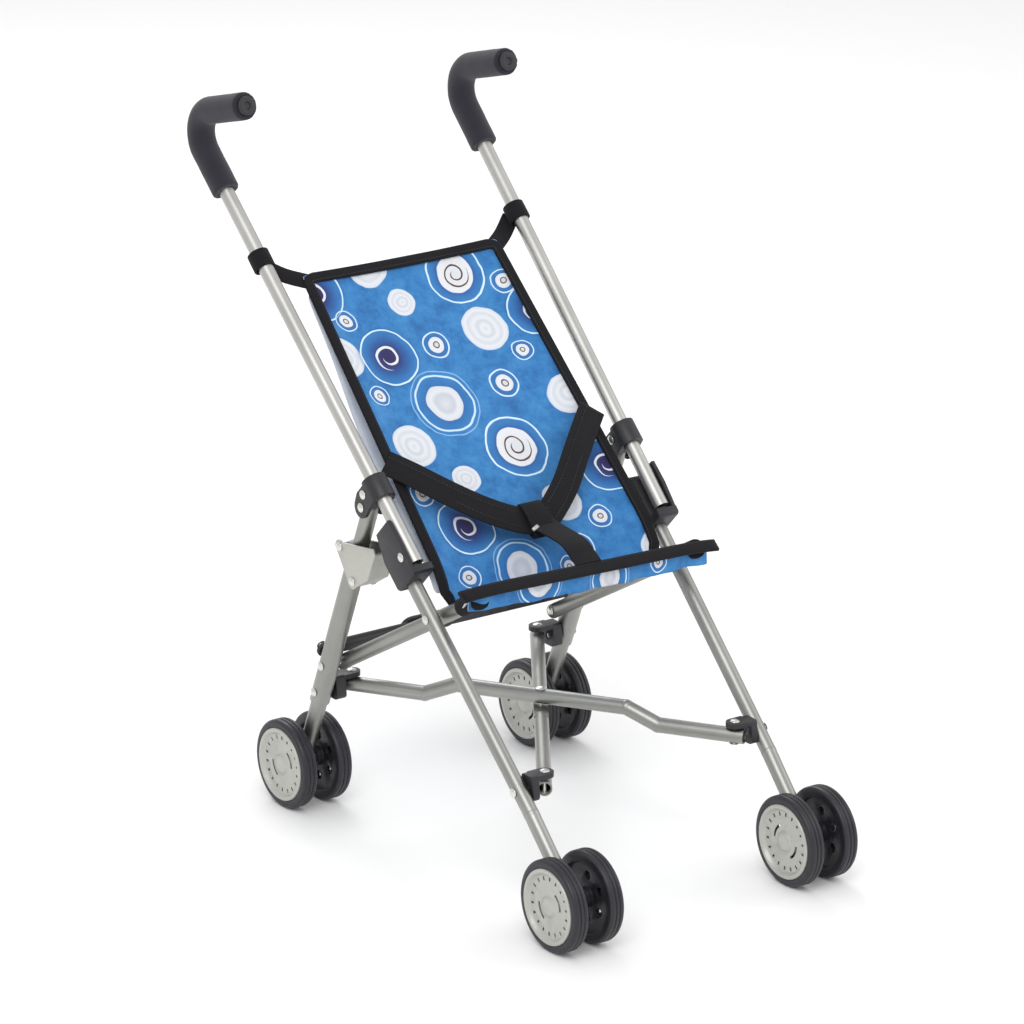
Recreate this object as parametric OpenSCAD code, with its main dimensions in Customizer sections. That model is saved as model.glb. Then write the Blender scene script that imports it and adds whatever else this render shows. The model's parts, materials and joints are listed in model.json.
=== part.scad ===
// Doll stroller: two slanted side frames with hooked handles, joined by a
// scissor pair of cross tubes, with a sling seat, a folding rear brace and
// twin wheels on each leg. The frame folds flat sideways.
// Millimetres. +Z is up, the front faces -Y and the floor is z = 0. The origin
// is on the floor, in the middle of the whole stroller's footprint.

/* [Stance] */
// Distance between the front and rear axles
wheelbase = 351; // [340:1:360]
// Radius of a wheel over its tyre
wheel_r = 36; // [34:0.5:38]
// Half the distance between the front legs at the axle
front_half_track = 111; // [109:0.5:113]
// Half the distance between the rear legs
rear_half_track = 117.5; // [117:0.5:119]
// Distance from a leg to the middle of each of its two wheels
twin_offset = 16.2; // [16:0.1:18]

/* [Side frame] */
// Slope of the handle tube and front leg above the floor
main_slope = 43; // [42:0.5:44]
// Outside diameter of the handle tube and front leg
tube_d = 12; // [11:0.5:12.5]
// Wall thickness of every aluminium tube
tube_wall = 1.2; // [1:0.1:1.6]
// Distance from the handle tube's axis down to the front leg's axis
tube_gap = 15; // [14.5:0.5:16]
// Length of the front leg's foot, below its bend
shin_len = 72.5; // [70:0.5:75]
// Extra slope of the foot below the bend
shin_kick = 3; // [2:0.5:4]
// Outward lean of the side frames
flare = 1.07; // [0.9:0.01:1.2]
// Length of the front leg above its bend
front_leg_len = 230; // [226:1:232]
// Distance from the bend to the handle tube's cut end
handle_start = 214; // [212:1:216]

/* [Handles] */
// Distance from the bend to where the grip begins
grip_start = 558; // [550:1:565]
// Distance from the bend to where the handle starts to hook
hook_start = 595.5; // [590:0.5:600]
// Radius of the hook at the tube's axis
hook_r = 21; // [19:0.5:24]
// Angle that the hook turns through
hook_angle = 121; // [115:1:125]
// Straight length after the hook
hook_end = 50; // [45:1:55]
// Outside diameter of the foam grip
grip_d = 22; // [21:0.5:23]

/* [Rear leg] */
// Distance from the bend to the rear leg's pivot, along the handle tube
pivot_along = 277.4; // [275:0.2:280]
// Distance from the handle tube's axis down to the rear leg's pivot
pivot_down = 18; // [17.5:0.5:19]
// Diameter of the rear leg at its ends
rear_d = 13; // [12.5:0.5:13]
// Diameter of the rear leg's thick middle
sleeve_d = 16; // [15:0.5:16]
// Distance from the pivot down to the thick middle
sleeve_top = 46; // [44:1:48]
// Distance from the pivot down to the end of the thick middle
sleeve_end = 196; // [194:1:197]

/* [Cross tubes] */
// Height of the cross tubes' axes at their pivots
cross_z = 102; // [101:0.5:103]
// Distance from the middle plane to a cross tube's pivot
cross_pivot_x = 90; // [88:0.5:90]
// Outside diameter of the bent cross tube
cross_d = 12; // [11:0.5:12]
// How far the bent tube rises to pass over the straight one
hump_rise = 11; // [11:0.5:12]
// Distance from the crossing to the hump's shoulders
hump_half = 70; // [65:1:75]
// Length of the slope between shoulder and end
hump_ramp = 26; // [24:1:30]

/* [Seat rails] */
// Height of the rail's pin on the rear leg
rail_pin_z = 127; // [126:0.5:128]
// Slope of the seat rails, rising to the front
rail_slope = 30; // [29.5:0.1:30.5]
// Distance from a rail's pin to its front end
rail_len = 205; // [200:1:210]
// Distance from the middle plane to a seat rail
rail_x = 102; // [101.5:0.5:102]
// Outside diameter of a seat rail
rail_d = 12; // [11:0.5:12]

/* [Brace] */
// Height of the lock brace's pins on the rear legs
brace_z = 134; // [132:1:136]
// Height of the narrow brace half
brace_h = 13; // [12:1:14]
// Thickness of each brace half
brace_t = 3; // [2.5:0.5:3]
// How far the wide half reaches past the middle
brace_lap = 35; // [30:1:38]

/* [Sling] */
// Half the width of the back panel at its top
back_top_half = 92; // [88:1:93]
// Half the width of the back panel at the seat
back_low_half = 103; // [100:1:104]
// Half the width of the seat where it leaves the back
seat_half = 93; // [90:1:94]
// Thickness of the padded cloth
cloth_t = 2.4; // [2:0.2:3]
// Distance from the bend to the back panel's lower edge
back_low = 172; // [170:1:176]
// Distance from the bend to the back panel's upper edge
back_high = 474; // [465:1:480]
// Half the width of the seat's front edge
front_edge_half = 120; // [116:1:121]

/* [Hidden] */
$fn = 48;
fit = 0.15;          // radial gap between pieces fixed to each other
running = 0.05;      // radial gap between a pin and the piece that turns on it
joint_lap = 0.5;     // how far the hook's straight end reaches into its curve
joint_step = 0.04;   // and how much thinner it is, so that it starts inside
bend_swell = 0.4;    // how much a tube swells at a tight bend
pin_d = 4;           // every rivet's shank
axle_d = 5;
head_d = 7.5;        // every rivet's head
head_h = 1.6;
aluminium = "#b9b8b0";
black_plastic = "#232227";
foam = "#23233a";
rivet_steel = "#d9d8d2";
cloth = "#1f6cb4";
webbing = "#191826";

// Places in the side plane are [y, z] pairs. The side frame's own line starts
// at the front leg's bend: "along" runs up the leg and "down" is square to it.
knee_rise = shin_len * sin(main_slope + shin_kick);
knee_reach = shin_len * cos(main_slope + shin_kick);
back_reach = -wheelbase/2 + knee_reach - (tube_gap + hook_r) * sin(main_slope)
    + hook_start * cos(main_slope) + hook_r + grip_d/2;
mid_y = -(back_reach - wheelbase/2 - wheel_r) / 2;
front_axle = [mid_y - wheelbase/2, wheel_r];
rear_axle = [mid_y + wheelbase/2, wheel_r];
knee = front_axle + [knee_reach, knee_rise];
up_main = [cos(main_slope), sin(main_slope)];
down_main = [sin(main_slope), -cos(main_slope)];
function main_yz(along, down = 0) = knee + along * up_main + (down - tube_gap) * down_main;
function main_x(along) = front_half_track + (along + shin_len) * tan(flare);
function point(x, yz) = [x, yz[0], yz[1]];

rear_pivot = main_yz(pivot_along, pivot_down);
rear_len = norm(rear_pivot - rear_axle);
up_rear = (rear_pivot - rear_axle) / rear_len;
rear_lean = atan2(-up_rear[0], up_rear[1]);
function rear_yz(z) = rear_axle + up_rear * (z - wheel_r) / up_rear[1];

front_bolt_along = (cross_z - knee[1]) / sin(main_slope);
front_bolt = main_yz(front_bolt_along, tube_gap);
rear_bolt = rear_yz(cross_z);
front_leg_x = main_x(front_bolt_along);
cross_run = rear_bolt[0] - front_bolt[0];
cross_half = norm([2 * cross_pivot_x, cross_run]) / 2;
cross_angle = atan2(cross_run, 2 * cross_pivot_x);
cross_mid = [0, (rear_bolt[0] + front_bolt[0]) / 2, cross_z];

rail_pin = rear_yz(rail_pin_z);
rail_dir = [-cos(rail_slope), sin(rail_slope)];
rail_up = [sin(rail_slope), cos(rail_slope)];
function rail_yz(along, up = 0) = rail_pin + along * rail_dir + up * rail_up;
// where a rail passes the front leg's axis
rail_cross = (rail_pin - main_yz(0, tube_gap)) * down_main / -(rail_dir * down_main);
// and how far up from the bend that is
rail_cross_along = (rail_yz(rail_cross) - knee) * up_main;

brace_back = sleeve_d/2 + 0.6;   // from the rear leg's axis back to the brace

// Draws children on the right for 1 and mirrored onto the left for -1.
module on_side(side) {
    mirror([side < 0 ? 1 : 0, 0, 0]) children();
}

// Local z runs up the main tube, local y down and back from it.
module on_main(along, lean = 0) {
    translate(point(main_x(along), main_yz(along)))
        rotate([main_slope - 90, 0, 0]) rotate([0, lean, 0]) children();
}

// Local x stays x, local z runs up the rear leg, local y points to its back.
module on_rear(z) {
    translate(point(rear_half_track, rear_yz(z))) rotate([rear_lean, 0, 0]) children();
}

// Turns an outline drawn as [down, along] so that it is extruded along x.
module across(x_low, x_high) {
    translate([x_low, 0, 0]) rotate([90, 0, 90]) linear_extrude(x_high - x_low) children();
}

module rod(a, b, d) {
    v = b - a;
    translate(a) rotate([0, acos(v[2] / norm(v)), atan2(v[1], v[0])]) cylinder(d = d, h = norm(v));
}

module bent_rod(path, d) {
    for (i = [1 : len(path) - 1]) rod(path[i - 1], path[i], d);
    for (i = [1 : len(path) - 2]) translate(path[i]) sphere(d = d + bend_swell);
}

// A tube that follows the path, open at both ends.
module bent_tube(path, d) {
    last = len(path) - 1;
    first_dir = (path[0] - path[1]) / norm(path[0] - path[1]);
    last_dir = (path[last] - path[last - 1]) / norm(path[last] - path[last - 1]);
    inner = concat([path[0] + first_dir], [for (i = [1 : last - 1]) path[i]], [path[last] + last_dir]);
    difference() {
        bent_rod(path, d);
        bent_rod(inner, d - 2 * tube_wall);
    }
}

// A bore or pin along x at a place in the side plane.
module cross_pin(yz, x_low, x_high, d) {
    translate(point(x_low, yz)) rotate([0, 90, 0]) cylinder(d = d, h = x_high - x_low);
}

// Points of an arc, for outlines.
function arc(c, r, from, to, steps = 8) =
    [for (i = [0 : steps]) let (a = from + (to - from) * i / steps) c + r * [cos(a), sin(a)]];

// A bar outline from one round end to the other, along its own x.
function bar(len, h) = concat(arc([0, 0], h/2, 90, 270), arc([len, 0], h/2, -90, 90));

// The handle's line from its start to its end, longer by "spare" at both.
module hooked_bar(d, start, spare = 0) {
    straight = hook_start - start;
    translate([0, 0, -spare]) cylinder(d = d, h = straight + spare);
    translate([0, -hook_r, straight]) {
        rotate([90, 0, 90]) rotate_extrude(angle = hook_angle) translate([hook_r, 0]) circle(d = d);
        rotate([hook_angle, 0, 0]) translate([0, hook_r, -joint_lap])
            cylinder(d = d - joint_step, h = hook_end + joint_lap + spare);
    }
}

module at_hook_end(start) {
    translate([0, -hook_r, hook_start - start]) rotate([hook_angle, 0, 0])
        translate([0, hook_r, hook_end]) children();
}

module handle_tube() {
    color(aluminium) on_main(handle_start, flare) difference() {
        hooked_bar(tube_d, handle_start);
        hooked_bar(tube_d - 2 * tube_wall, handle_start, 1);
    }
}

module grip() {
    color(foam) on_main(grip_start, flare) difference() {
        hooked_bar(grip_d, grip_start);
        hooked_bar(tube_d + 2 * fit, grip_start, 1);
    }
}

plug_d = 15;
plug_h = 3;
module grip_plug() {
    color(black_plastic) on_main(grip_start, flare) at_hook_end(grip_start) difference() {
        union() {
            translate([0, 0, fit]) cylinder(d = plug_d, h = plug_h);
            translate([0, 0, -10]) cylinder(d = tube_d - 2 * tube_wall - 2 * fit, h = 11);
        }
        translate([0, 0, plug_h - 1.2]) cylinder(d = 6, h = 3);
    }
}

collar_along = 281;  // the middle of the ring, from the bend
collar_h = 19;
collar_half = 10;    // half its width, which is also the ring's radius
cheek_gap = 7;       // half the space between the two cheeks
lobe_r = 8.5;
module collar() {
    drop = pivot_along - collar_along;
    color(black_plastic) on_main(collar_along) difference() {
        union() {
            translate([0, 0, -collar_h/2]) cylinder(r = collar_half, h = collar_h);
            across(-collar_half, collar_half) polygon(concat(
                [[0, collar_h/2 - 2], [0, -collar_h/2]],
                arc([pivot_down, drop], lobe_r, -100, 60),
                [[pivot_down - 4, collar_h/2 - 2]]));
        }
        translate([0, 0, -collar_h]) cylinder(d = tube_d + 0.7, h = 2 * collar_h);
        translate([-cheek_gap, 9.2, -2 * collar_h]) cube([2 * cheek_gap, 40, 4 * collar_h]);
        translate([-collar_half - 1, pivot_down, drop]) rotate([0, 90, 0])
            cylinder(d = pin_d + 2 * fit, h = 2 * collar_half + 2);
    }
}
bracket_low = 204;   // the side bracket's lower end, from the bend
bracket_high = 252;
bracket_half = 9.5;
module side_bracket() {
    lip = handle_start - 3 - bracket_low;
    top = bracket_high - bracket_low;
    back = concat([[21, 0]], arc([21, 4], 3.5, -60, 0, 3), [[24.5, 26], [17, top]]);
    color(black_plastic) on_main(bracket_low, flare) difference() {
        union() {
            across(6.4, bracket_half) polygon(concat([[-4, 2], [2, 0]], back, [[-5, top], [-6, top - 20]]));
            across(-bracket_half, 7) polygon(concat([[6.4, 0]], back, [[9, top - 4], [6.4, top - 8]]));
            across(-bracket_half, bracket_half) polygon([[-5, 1.5], [-3, 0], [22, 0], [22, lip], [-5, lip]]);
        }
        translate([0, tube_gap, -1]) cylinder(d = tube_d + 2 * fit, h = front_leg_len - bracket_low + 2);
        translate([0, 0, lip]) cylinder(d = tube_d + 2 * fit, h = top);
    }
}

module front_leg() {
    top = point(main_x(front_leg_len), main_yz(front_leg_len, tube_gap));
    bend = point(main_x(0), main_yz(0, tube_gap));
    foot_dir = (front_axle - knee) / shin_len;
    foot = point(front_half_track, front_axle + 7 * foot_dir);
    color(aluminium) difference() {
        bent_tube([top, bend, foot], tube_d);
        cross_pin(front_axle, front_half_track - 20, front_half_track + 20, axle_d + 2 * fit);
        cross_pin(front_bolt, front_leg_x - 20, front_leg_x + 20, pin_d + 2 * running);
    }
}

rivet_gap = 0.1;     // space under a rivet's head
// A domed rivet head that faces +x.
module rivet_head(d = head_d) {
    intersection() {
        cylinder(d = d, h = head_h);
        translate([0, 0, head_h - d * 0.8]) sphere(r = d * 0.8);
    }
}

// Places a rivet head on an x face: side 1 faces outwards and -1 inwards.
module head_at(x, yz, facing, d = head_d) {
    translate(point(x + facing * rivet_gap, yz)) rotate([0, 90 * facing, 0]) rivet_head(d);
}

module frame_rivets() {
    pivot_x = rear_half_track;
    stud = rail_yz(rail_cross);
    stud_x = main_x(rail_cross_along);
    clamp = main_yz(collar_along + 2, 8);
    fixing = main_yz(bracket_low + 18, 1);
    fixing_x = main_x(bracket_low) + 18 * tan(flare) + bracket_half;
    color(rivet_steel) {
        cross_pin(rear_pivot, pivot_x - collar_half - 1, pivot_x + collar_half + 1, pin_d);
        for (facing = [-1, 1]) {
            head_at(pivot_x + facing * (collar_half + 0.1), rear_pivot, facing);
            head_at(pivot_x + facing * (collar_half + 0.1), clamp, facing);
        }
        head_at(fixing_x + 0.2, fixing, 1);
        head_at(stud_x + tube_d/2, stud, 1);
    }
}
module rear_leg() {
    tip = rear_d * 0.8;
    color(aluminium) difference() {
        union() {
            translate(point(rear_half_track, rear_axle)) rotate([rear_lean, 0, 0]) {
                translate([0, 0, -7]) cylinder(d = rear_d, h = rear_len + 7);
                translate([0, 0, rear_len - sleeve_end]) cylinder(d = sleeve_d, h = sleeve_end - sleeve_top);
            }
            translate(point(rear_half_track, rear_pivot)) sphere(d = rear_d);
        }
        translate(point(rear_half_track, rear_axle)) rotate([rear_lean, 0, 0])
            translate([0, 0, -8]) cylinder(d = rear_d - 2 * tube_wall, h = rear_len - tip + 8);
        cross_pin(rear_pivot, rear_half_track - 20, rear_half_track + 20, pin_d + 2 * running);
        cross_pin(rear_axle, rear_half_track - 20, rear_half_track + 20, axle_d + 2 * fit);
        cross_pin(rear_bolt, rear_half_track - 20, rear_half_track + 20, pin_d + 2 * running);
        cross_pin(rail_pin, rear_half_track - 20, rear_half_track + 20, pin_d + 2 * fit);
        on_rear(brace_z) rotate([-90, 0, 0]) cylinder(d = pin_d + 2 * fit, h = 20);
    }
}

gusset_t = 1.5;
gusset_half = sleeve_d/2 + 0.3;
gusset_z = 213;      // the height on the rear leg that the gusset is measured from
// Places on its side plates as [back, up] from there.
spacer_at = [13, 18.5];
lower_at = [-12, 3];
arm_tip = [[-26, 46], [-30, 43]];
arm_root = [-29, 17];
module gusset() {
    heel = arc(lower_at, 6, 190, 330, 6);
    outline = concat(arc(spacer_at, 5.5, -30, 110, 6), arm_tip, [arm_root], heel);
    front_edge = [arm_tip[1], arm_root, heel[0]];
    thicken = [-gusset_t, -0.3];
    color(aluminium) on_rear(gusset_z) difference() {
        union() {
            for (x = [-gusset_half - gusset_t, gusset_half])
                across(x, x + gusset_t) polygon(outline);
            across(-gusset_half - gusset_t, gusset_half + gusset_t) polygon(concat(front_edge,
                [for (i = [2 : -1 : 0]) front_edge[i] - thicken]));
        }
        for (place = [spacer_at, lower_at]) translate([-20, place[0], place[1]])
            rotate([0, 90, 0]) cylinder(d = pin_d + 2 * fit, h = 40);
    }
}

module rear_rivets() {
    side_x = gusset_half + gusset_t;
    color(rivet_steel) {
        on_rear(gusset_z) for (place = [spacer_at, lower_at]) translate([0, place[0], place[1]])
            rotate([0, 90, 0]) {
                translate([0, 0, -side_x - 0.5]) cylinder(d = pin_d, h = 2 * side_x + 1);
                translate([0, 0, side_x + rivet_gap]) rivet_head();
                rotate([180, 0, 0]) translate([0, 0, side_x + rivet_gap]) rivet_head();
            }
        on_rear(gusset_z) translate([0, spacer_at[0], spacer_at[1]]) rotate([0, 90, 0])
            translate([0, 0, 1 - gusset_half]) cylinder(d = 7, h = 2 * gusset_half - 2);
        cross_pin(rail_pin, rail_x - rail_d/2 - 1, rear_half_track + sleeve_d/2 + 1, pin_d);
        head_at(rear_half_track + sleeve_d/2 + 0.2, rail_pin, 1);
        head_at(rail_x - rail_d/2 - 0.3, rail_pin, -1);
        on_rear(brace_z) rotate([-90, 0, 0]) {
            cylinder(d = pin_d, h = brace_back + 2 * brace_t + 1.2);
            translate([0, 0, brace_back + 2 * brace_t + 0.8]) rivet_head();
        }
    }
}

module seat_rail() {
    tail = 6;
    color(aluminium) difference() {
        rod(point(rail_x, rail_yz(-tail)), point(rail_x, rail_yz(rail_len)), rail_d);
        rod(point(rail_x, rail_yz(-tail - 1)), point(rail_x, rail_yz(rail_len + 1)), rail_d - 2 * tube_wall);
        cross_pin(rail_pin, rail_x - 20, rail_x + 20, pin_d + 2 * running);
    }
}

wheel_half = 7.2;    // half a wheel's width over its boss
module axle(half_track, axle_yz, leg_d) {
    cap = twin_offset + 0.9;
    color(rivet_steel) translate(point(half_track, axle_yz)) rotate([0, 90, 0]) {
        translate([0, 0, -cap - 1]) cylinder(d = axle_d, h = 2 * cap + 2);
        for (turn = [0, 180]) rotate([turn, 0, 0]) {
            translate([0, 0, leg_d/2 + 0.3]) cylinder(d = 9, h = twin_offset - wheel_half - leg_d/2 - 0.6);
            translate([0, 0, cap]) cylinder(d = 9, h = 1.6);
        }
    }
}

rim_r = 29.8;
tyre_w = 13;
web_holes = 6;
// The black moulded wheel: local z points to the face with the hubcap.
module wheel() {
    bore = axle_d/2 + running;
    tread = tyre_w/2;
    color(black_plastic) difference() {
        rotate_extrude() polygon(concat(
            [[bore, -wheel_half], [7.5, -wheel_half], [8, -2.5], [26.5, -2.5], [28, -tread]],
            arc([wheel_r - 3, -tread + 3], 3, -90, -10, 5),
            [[wheel_r, -2.4], [wheel_r - 0.9, -2], [wheel_r - 0.9, -1.4], [wheel_r, -1],
             [wheel_r, 1], [wheel_r - 0.9, 1.4], [wheel_r - 0.9, 2], [wheel_r, 2.4]],
            arc([wheel_r - 3, tread - 3], 3, 10, 90, 5),
            [[rim_r, tread], [rim_r, 2.4], [20, 0.5], [bore, 0.5]]));
        for (i = [0 : web_holes - 1]) rotate([0, 0, i * 360 / web_holes])
            translate([17, 0, -4]) cylinder(d = 7, h = 8);
    }
}
cap_slots = 18;
// The grey hubcap, clipped into the wheel's outer face.
module hubcap() {
    edge = rim_r - 0.3;
    color("#a9a8a6") difference() {
        rotate_extrude() polygon(concat(
            [[0, 3.4], [24, 3.4], [25.5, 3], [edge, 3], [edge, 6.6]],
            arc([edge - 1.2, 6.6], 1.2, 0, 90, 4), [[26.6, 7.8], [25.2, 6], [24, 4.8], [9, 4.8],
             [8, 5.4], [7, 6.4], [5, 7], [0, 7.2]]));
        for (i = [0 : cap_slots - 1]) rotate([0, 0, i * 360 / cap_slots])
            translate([20.2, -0.9, 0]) cube([3.2, 1.8, 10]);
        for (turn = [30, 210]) rotate([0, 0, turn])
            rotate_extrude(angle = 60) translate([12, 0]) square([2.2, 10]);
    }
}

// Puts a wheel or hubcap on its axle: outer is 1 for the wheel away from the
// middle of the stroller and -1 for the one nearer to it.
module at_wheel(half_track, axle_yz, outer) {
    translate(point(half_track + outer * twin_offset, axle_yz)) rotate([0, 90 * outer, 0]) children();
}

arm_low = cross_d/2 + 1.3;
arm_h = 4;
block_face = 100.4;  // the bracket's face towards the cross tube's end
block_half = 8;
// A bracket at its bolt: a block beside the leg and an arm over the cross tube.
module cross_bracket(bolt_yz, leg_face) {
    color(black_plastic) translate([0, bolt_yz[0], bolt_yz[1]]) difference() {
        union() {
            across(block_face, leg_face - 0.4) polygon(concat(
                arc([5, -4], 4, -90, 0, 4), arc([5, arm_low + arm_h - 2], 2, 0, 90, 3),
                arc([-5, arm_low + arm_h - 2], 2, 90, 180, 3), arc([-5, -4], 4, 180, 270, 4)));
            translate([cross_pivot_x, 0, arm_low]) cylinder(r = 7, h = arm_h);
            translate([cross_pivot_x, -7, arm_low]) cube([block_face - cross_pivot_x + 1, 14, arm_h]);
        }
        translate([block_face - 1, 0, 0]) rotate([0, 90, 0]) cylinder(d = pin_d + 2 * fit, h = 30);
        translate([cross_pivot_x, 0, 0]) cylinder(d = pin_d + 2 * fit, h = 40);
    }
}

// The bracket's bolt through the leg, and the rivet through its arm. The
// shank reaches down through the tube where the tube turns on it.
module bracket_rivets(bolt_yz, leg_x, leg_d, shank_low) {
    color(rivet_steel) {
        cross_pin(bolt_yz, block_face + 0.5, leg_x + leg_d/2 + 1, pin_d);
        head_at(leg_x + leg_d/2 + 0.2, bolt_yz, 1);
        translate([cross_pivot_x, bolt_yz[0], bolt_yz[1]]) {
            translate([0, 0, shank_low]) cylinder(d = pin_d, h = arm_low + arm_h + 1 - shank_low);
            translate([0, 0, arm_low + arm_h + rivet_gap]) rivet_head();
            if (shank_low < 0) translate([0, 0, -cross_d/2 - 0.3]) rotate([180, 0, 0]) rivet_head();
        }
    }
}

cross_tail = 8;      // tube beyond each pivot
flat_half = 20;      // half the flattened stretch of the straight tube
flat_h = 7.4;
straight_d = 11.5;

// Local x runs along the cross tube; side 1 rises to the right rear.
module on_cross(side) {
    translate(cross_mid) rotate([0, 0, side * cross_angle]) children();
}

module cross_tube_straight() {
    reach = cross_half + cross_tail;
    color(aluminium) on_cross(1) difference() {
        union() {
            for (turn = [0, 180]) rotate([0, 0, turn]) difference() {
                rod([flat_half, 0, 0], [reach, 0, 0], straight_d);
                rod([flat_half + 4, 0, 0], [reach + 1, 0, 0], straight_d - 2 * tube_wall);
            }
            translate([-flat_half - 4, -straight_d/2, -flat_h/2])
                cube([2 * flat_half + 8, straight_d, flat_h]);
        }
        translate([0, 0, -10]) cylinder(d = pin_d + 2 * running, h = 20);
        translate([-cross_half, 0, -10]) cylinder(d = pin_d + 2 * running, h = 20);
    }
}

module cross_tube_bent() {
    reach = cross_half + cross_tail;
    foot = hump_half + hump_ramp;
    color(aluminium) on_cross(-1) difference() {
        bent_tube([[-reach, 0, 0], [-foot, 0, 0], [-hump_half, 0, hump_rise],
                   [hump_half, 0, hump_rise], [foot, 0, 0], [reach, 0, 0]], cross_d);
        translate([0, 0, -10]) cylinder(d = pin_d + 2 * fit, h = 40);
        translate([cross_half, 0, -10]) cylinder(d = pin_d + 2 * running, h = 20);
    }
}

module centre_bolt() {
    top = hump_rise + cross_d/2;
    color(rivet_steel) translate(cross_mid) {
        translate([0, 0, -flat_h/2 - 4]) cylinder(d = pin_d, h = top + flat_h/2 + 5);
        translate([0, 0, top + 0.2]) rivet_head(9);
        translate([0, 0, -flat_h/2 - 4.2]) difference() {
            cylinder(d = 9, h = 3.5, $fn = 6);
            translate([0, 0, -1]) cylinder(d = pin_d - 0.4, h = 2);
        }
    }
}

// A brace half in the plane behind the rear legs, running to the middle.
module brace_half(len, h, layer, boss) {
    low = brace_back + layer * (brace_t + 0.4);
    color(black_plastic) on_rear(brace_z) difference() {
        union() {
            translate([0, low + brace_t, 0]) rotate([90, 0, 0]) linear_extrude(brace_t)
                rotate(180) polygon(bar(len, h));
            if (boss) translate([-rear_half_track, low + brace_t - 0.5, 0]) rotate([-90, 0, 0])
                cylinder(d = 8, h = 2);
            if (layer > 0) translate([0, brace_back, 0]) rotate([-90, 0, 0]) cylinder(d = 9, h = 2 * brace_t);
        }
        translate([0, 1, 0]) rotate([-90, 0, 0]) cylinder(d = pin_d + 2 * running, h = 40);
    }
}

// Local y is down from the handle tubes' plane, local z up along it, x across.
module on_back(along) {
    translate(point(0, main_yz(along))) rotate([main_slope - 90, 0, 0]) children();
}

back_level = 2;      // the panel's middle below the handle tubes' axes
module back_panel() {
    high = back_high - back_low;
    color(cloth) on_back(back_low) translate([0, back_level + cloth_t/2, 0]) rotate([90, 0, 0])
        linear_extrude(cloth_t) polygon([[-back_low_half, 24], [back_low_half, 24],
            [back_top_half, high], [0, high - 3], [-back_top_half, high]]);
}

module seat_panel() {
    crease = main_yz(back_low + 12, 12);
    rear = main_yz(back_low + 26, 9);
    front = rail_yz(rail_len + 5);
    lift = [0, cloth_t];
    under = front + [-1.5, -4];
    color(cloth) {
        across(-seat_half, seat_half)
            polygon([crease, under, under + lift, crease + lift * 1.6, rear + [1, 0], rear + [3.4, 0]]);
        across(-front_edge_half, front_edge_half) polygon([front + [0, -14], front + [-3, -14],
            front + [-4.5, 4], front + [-3, 7], front + [-1.5, 6]]);
    }
}

belt_w = 22;
belt_t = 1.6;
belt_level = -8;     // the belts lie this far in front of the handle tubes' plane
module harness() {
    meet = 66;
    hang = 132;
    side_x = back_low_half - 6;
    end = rail_yz(rail_len - 3, 9);
    color(webbing) {
        on_back(back_low) translate([0, belt_level + belt_t, 0]) rotate([90, 0, 0]) linear_extrude(belt_t)
            for (side = [-1, 1]) polygon([[0, meet - belt_w/2], [side * side_x, hang - belt_w/2],
                [side * side_x, hang + belt_w/2], [0, meet + belt_w/2]]);
        across(-belt_w/2, belt_w/2) polygon([main_yz(back_low + meet - 6, belt_level + 1.2), end,
            end + [0, belt_t], main_yz(back_low + meet, belt_level + 0.2)]);
    }
}

strap_along = 493;
strap_t = 2;
module top_strap() {
    corner = back_top_half - 6 - main_x(strap_along);
    color(webbing) on_main(strap_along) {
        difference() {
            translate([0, 0, -10]) cylinder(d = tube_d + 4.4, h = 18);
            translate([0, 0, -11]) cylinder(d = tube_d + 1.2, h = 20);
        }
        translate([0, 4.2 + strap_t, 0]) rotate([90, 0, 0]) linear_extrude(strap_t)
            polygon([[-5.5, -8], [corner, -34], [corner, -20], [-5.5, 6]]);
    }
}

for (side = [-1, 1]) {
    s = side < 0 ? "left" : "right";
    on_side(side) handle_tube();
    on_side(side) grip();
    on_side(side) grip_plug();
    on_side(side) collar();
    on_side(side) side_bracket();
    on_side(side) front_leg();
    on_side(side) frame_rivets();
    on_side(side) rear_leg();
    on_side(side) gusset();
    on_side(side) rear_rivets();
    on_side(side) seat_rail();
    on_side(side) axle(front_half_track, front_axle, tube_d);
    on_side(side) axle(rear_half_track, rear_axle, rear_d);
    on_side(side) cross_bracket(front_bolt, front_leg_x - tube_d/2);
    on_side(side) bracket_rivets(front_bolt, front_leg_x, tube_d, -cross_d/2 - 1);
    on_side(side) cross_bracket(rear_bolt, rear_half_track - sleeve_d/2);
    on_side(side) bracket_rivets(rear_bolt, rear_half_track, sleeve_d, arm_low + 0.2);
    on_side(side) top_strap();
    for (outer = [-1, 1]) {
        o = outer < 0 ? "inner" : "outer";
        on_side(side) at_wheel(front_half_track, front_axle, outer) wheel();
        on_side(side) at_wheel(rear_half_track, rear_axle, outer) wheel();
        on_side(side) at_wheel(front_half_track, front_axle, outer) hubcap();
        on_side(side) at_wheel(rear_half_track, rear_axle, outer) hubcap();
    }
}
on_side(-1) brace_half(rear_half_track, brace_h, 0, false);  // lock_brace_left
brace_half(rear_half_track + brace_lap, brace_h + 4, 1, true);  // lock_brace_right
cross_tube_straight();
cross_tube_bent();
centre_bolt();
back_panel();
seat_panel();
harness();
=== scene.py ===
# A folding doll stroller, dressed round its CAD frame: drawn aluminium tubes,
# moulded hardware, foam grips, and a printed sling with black webbing.
import json
import math

import bmesh
import bpy
from mathutils import Matrix, Vector, noise


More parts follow.
